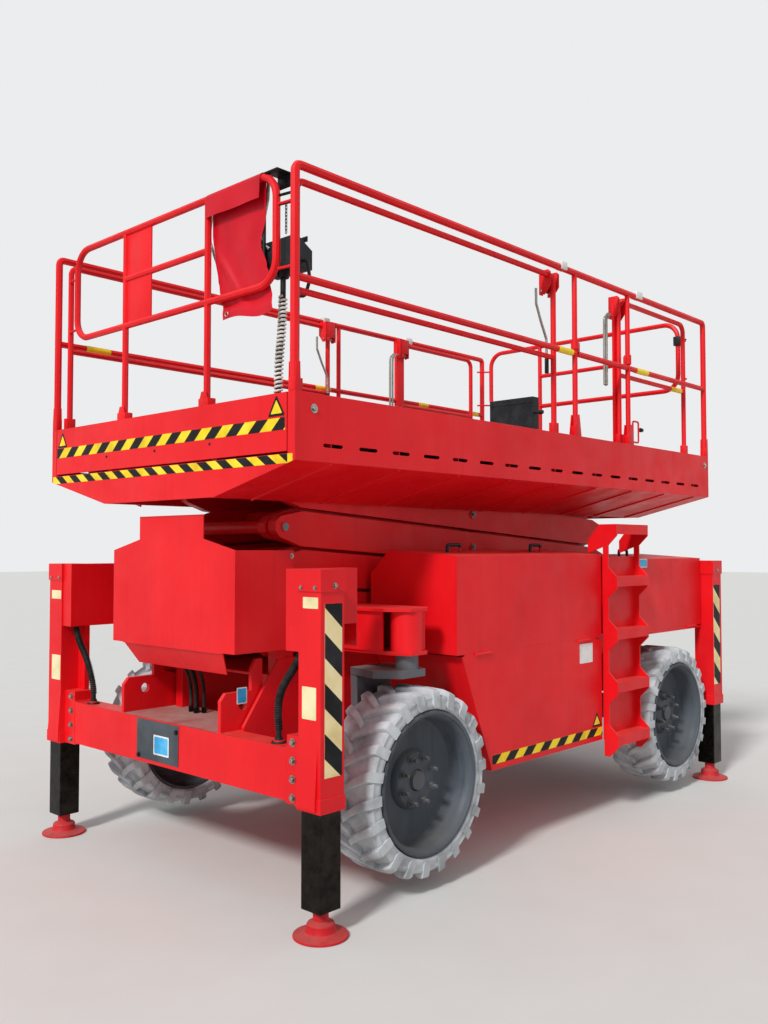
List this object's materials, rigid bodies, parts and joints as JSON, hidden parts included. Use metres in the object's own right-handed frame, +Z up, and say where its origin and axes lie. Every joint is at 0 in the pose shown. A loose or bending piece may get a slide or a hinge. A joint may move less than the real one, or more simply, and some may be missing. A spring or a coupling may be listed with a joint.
{
  "type": "scissor lift",
  "caption": "Rough-terrain scissor lift with railed platform, extending decks and corner jack legs",
  "frame": {"origin": "floor level under the middle of the machine", "axes": "+Z up, the front is towards -X, the ladder side is -Y"},
  "size_m": [4.0956, 2.417, 3.3667],
  "materials": {
    "box_black": "moulded black plastic",
    "chassis_grey": "dark grey enamel, dusty",
    "cylinder_black": "black enamel",
    "foot_paint": "worn primer over steel",
    "hose_rubber": "black hose",
    "jack_black": "greased dark steel",
    "ram_chrome": "hard chrome plate",
    "red_paint": "satin enamel, sun-faded and dusty",
    "rim_grey": "dark grey enamel, dusty",
    "tyre_rubber": "pale dusty non-marking rubber",
    "vinyl_red": "coated vinyl cloth"
  },
  "bodies": {
    "chassis": {"chassis_frame": "red_paint", "front_beam": "red_paint", "rear_beam": "red_paint", "front_axle": "red_paint", "rear_axle": "chassis_grey", "front_hood": "red_paint", "leg_posts": "red_paint", "ladder": "red_paint", "side_tray_left": "red_paint", "side_tray_right": "red_paint", "rear_trays": "red_paint", "leg_hose_right": "hose_rubber", "leg_hose_left": "hose_rubber"},
    "knuckle_right": {"knuckle_right": "chassis_grey"},
    "knuckle_left": {"knuckle_left": "chassis_grey"},
    "wheel_front_right": {"tyre_front_right": "tyre_rubber", "rim_front_right": "rim_grey"},
    "jack_front_right": {"jack_tube_front_right": "jack_black", "foot_front_right": "foot_paint"},
    "wheel_front_left": {"tyre_front_left": "tyre_rubber", "rim_front_left": "rim_grey"},
    "jack_front_left": {"jack_tube_front_left": "jack_black", "foot_front_left": "foot_paint"},
    "wheel_rear_right": {"tyre_rear_right": "tyre_rubber", "rim_rear_right": "rim_grey"},
    "jack_rear_right": {"jack_tube_rear_right": "jack_black", "foot_rear_right": "foot_paint"},
    "wheel_rear_left": {"tyre_rear_left": "tyre_rubber", "rim_rear_left": "rim_grey"},
    "jack_rear_left": {"jack_tube_rear_left": "jack_black", "foot_rear_left": "foot_paint"},
    "front_cover_right": {"front_cover_right": "red_paint"},
    "front_cover_left": {"front_cover_left": "red_paint"},
    "rear_cover_right": {"rear_cover_right": "red_paint"},
    "rear_cover_left": {"rear_cover_left": "red_paint"},
    "inner_arm_1": {"inner_arm_1": "red_paint"},
    "outer_arm_1": {"outer_arm_1": "red_paint"},
    "inner_arm_2": {"inner_arm_2": "red_paint"},
    "outer_arm_2": {"outer_arm_2": "red_paint"},
    "inner_arm_3": {"inner_arm_3": "red_paint"},
    "outer_arm_3": {"outer_arm_3": "red_paint"},
    "inner_arm_4": {"inner_arm_4": "red_paint"},
    "outer_arm_4": {"outer_arm_4": "red_paint"},
    "lift_barrel": {"lift_barrel": "cylinder_black"},
    "lift_ram": {"lift_ram": "ram_chrome"},
    "platform": {"platform_hull": "red_paint", "main_rails_right": "red_paint", "main_rails_left": "red_paint"},
    "entry_bar": {"entry_bar": "red_paint"},
    "front_extension": {"front_deck": "red_paint", "front_rails": "red_paint", "front_loop": "red_paint", "control_box": "box_black", "weather_cover": "vinyl_red", "control_cable": "hose_rubber"},
    "rear_extension": {"rear_deck": "red_paint", "rear_rails": "red_paint", "rear_loop": "red_paint", "manual_box": "box_black"}
  },
  "joints": [
    {"name": "lift", "type": "hinge", "parent": "chassis", "child": "inner_arm_1", "pos_m": [-1.55673, 0, 1.155], "axis": [0, -1, 0], "range_deg": [0, 55]},
    {"name": "cross_1", "type": "hinge", "parent": "inner_arm_1", "child": "outer_arm_1", "pos_m": [0, 0, 1.256], "axis": [0, -1, 0], "range_deg": [-110, 0]},
    {"name": "front_pin_1", "type": "hinge", "parent": "outer_arm_1", "child": "inner_arm_2", "pos_m": [-1.55673, 0, 1.357], "axis": [0, -1, 0], "range_deg": [0, 110]},
    {"name": "cross_2", "type": "hinge", "parent": "inner_arm_2", "child": "outer_arm_2", "pos_m": [0, 0, 1.458], "axis": [0, -1, 0], "range_deg": [-110, 0]},
    {"name": "front_pin_2", "type": "hinge", "parent": "outer_arm_2", "child": "inner_arm_3", "pos_m": [-1.55673, 0, 1.559], "axis": [0, -1, 0], "range_deg": [0, 110]},
    {"name": "cross_3", "type": "hinge", "parent": "inner_arm_3", "child": "outer_arm_3", "pos_m": [0, 0, 1.66], "axis": [0, -1, 0], "range_deg": [-110, 0]},
    {"name": "front_pin_3", "type": "hinge", "parent": "outer_arm_3", "child": "inner_arm_4", "pos_m": [-1.55673, 0, 1.761], "axis": [0, -1, 0], "range_deg": [0, 110]},
    {"name": "cross_4", "type": "hinge", "parent": "inner_arm_4", "child": "outer_arm_4", "pos_m": [0, 0, 1.862], "axis": [0, -1, 0], "range_deg": [-110, 0]},
    {"name": "platform_pin", "type": "hinge", "parent": "outer_arm_4", "child": "platform", "pos_m": [-1.55673, 0, 1.963], "axis": [0, -1, 0], "range_deg": [0, 55]},
    {"name": "cylinder_foot", "type": "hinge", "parent": "inner_arm_1", "child": "lift_barrel", "pos_m": [-0.29937, 0, 1.23658], "axis": [0, -1, 0], "range_deg": [-117.93, 0]},
    {"name": "cylinder_stroke", "type": "slide", "parent": "lift_barrel", "child": "lift_ram", "axis": [-0.995, 0, 0.0998], "range_m": [0, 0.4583]},
    {"name": "steer_right", "type": "hinge", "parent": "chassis", "child": "knuckle_right", "pos_m": [-1.224, -0.96, 1.2], "axis": [0, 0, 1], "range_deg": [-35, 35]},
    {"name": "steer_left", "type": "hinge", "parent": "chassis", "child": "knuckle_left", "pos_m": [-1.224, 0.96, 1.2], "axis": [0, 0, 1], "range_deg": [-35, 35]},
    {"name": "wheel_front_right", "type": "hinge", "parent": "knuckle_right", "child": "wheel_front_right", "pos_m": [-1.224, -0.96, 0.525], "axis": [0, 1, 0], "continuous": true},
    {"name": "jack_front_right", "type": "slide", "parent": "chassis", "child": "jack_front_right", "axis": [0, 0, 1], "range_m": [-0.15, 0.36]},
    {"name": "wheel_front_left", "type": "hinge", "parent": "knuckle_left", "child": "wheel_front_left", "pos_m": [-1.224, 0.96, 0.525], "axis": [0, 1, 0], "continuous": true},
    {"name": "jack_front_left", "type": "slide", "parent": "chassis", "child": "jack_front_left", "axis": [0, 0, 1], "range_m": [-0.15, 0.36]},
    {"name": "wheel_rear_right", "type": "hinge", "parent": "chassis", "child": "wheel_rear_right", "pos_m": [1.376, -0.96, 0.525], "axis": [0, 1, 0], "continuous": true},
    {"name": "jack_rear_right", "type": "slide", "parent": "chassis", "child": "jack_rear_right", "axis": [0, 0, 1], "range_m": [-0.15, 0.36]},
    {"name": "wheel_rear_left", "type": "hinge", "parent": "chassis", "child": "wheel_rear_left", "pos_m": [1.376, 0.96, 0.525], "axis": [0, 1, 0], "continuous": true},
    {"name": "jack_rear_left", "type": "slide", "parent": "chassis", "child": "jack_rear_left", "axis": [0, 0, 1], "range_m": [-0.15, 0.36]},
    {"name": "front_cover_right", "type": "hinge", "parent": "chassis", "child": "front_cover_right", "pos_m": [0, -1.0763, 1.103], "axis": [1, 0, 0], "range_deg": [0, 85]},
    {"name": "rear_cover_right", "type": "hinge", "parent": "chassis", "child": "rear_cover_right", "pos_m": [0, -1.0763, 1.103], "axis": [1, 0, 0], "range_deg": [0, 85]},
    {"name": "front_cover_left", "type": "hinge", "parent": "chassis", "child": "front_cover_left", "pos_m": [0, 1.0763, 1.103], "axis": [-1, 0, 0], "range_deg": [0, 85]},
    {"name": "rear_cover_left", "type": "hinge", "parent": "chassis", "child": "rear_cover_left", "pos_m": [0, 1.0763, 1.103], "axis": [-1, 0, 0], "range_deg": [0, 85]},
    {"name": "entry_bar", "type": "slide", "parent": "platform", "child": "entry_bar", "axis": [0, 0, 1], "range_m": [0, 0.38]},
    {"name": "front_extension", "type": "slide", "parent": "platform", "child": "front_extension", "axis": [-1, 0, 0], "range_m": [0, 1.3]},
    {"name": "rear_extension", "type": "slide", "parent": "platform", "child": "rear_extension", "axis": [1, 0, 0], "range_m": [0, 0.7]}
  ],
  "couplings": [
    {"joint": "cross_1", "follows": "lift", "ratio": -2},
    {"joint": "front_pin_1", "follows": "lift", "ratio": 2},
    {"joint": "cross_2", "follows": "lift", "ratio": -2},
    {"joint": "front_pin_2", "follows": "lift", "ratio": 2},
    {"joint": "cross_3", "follows": "lift", "ratio": -2},
    {"joint": "front_pin_3", "follows": "lift", "ratio": 2},
    {"joint": "cross_4", "follows": "lift", "ratio": -2},
    {"joint": "platform_pin", "follows": "lift", "ratio": 1},
    {"joint": "cylinder_foot", "follows": "lift", "ratio": -2.142},
    {"joint": "cylinder_stroke", "follows": "lift", "m_per_rad": 0.47697},
    {"joint": "steer_left", "follows": "steer_right", "ratio": 1}
  ]
}
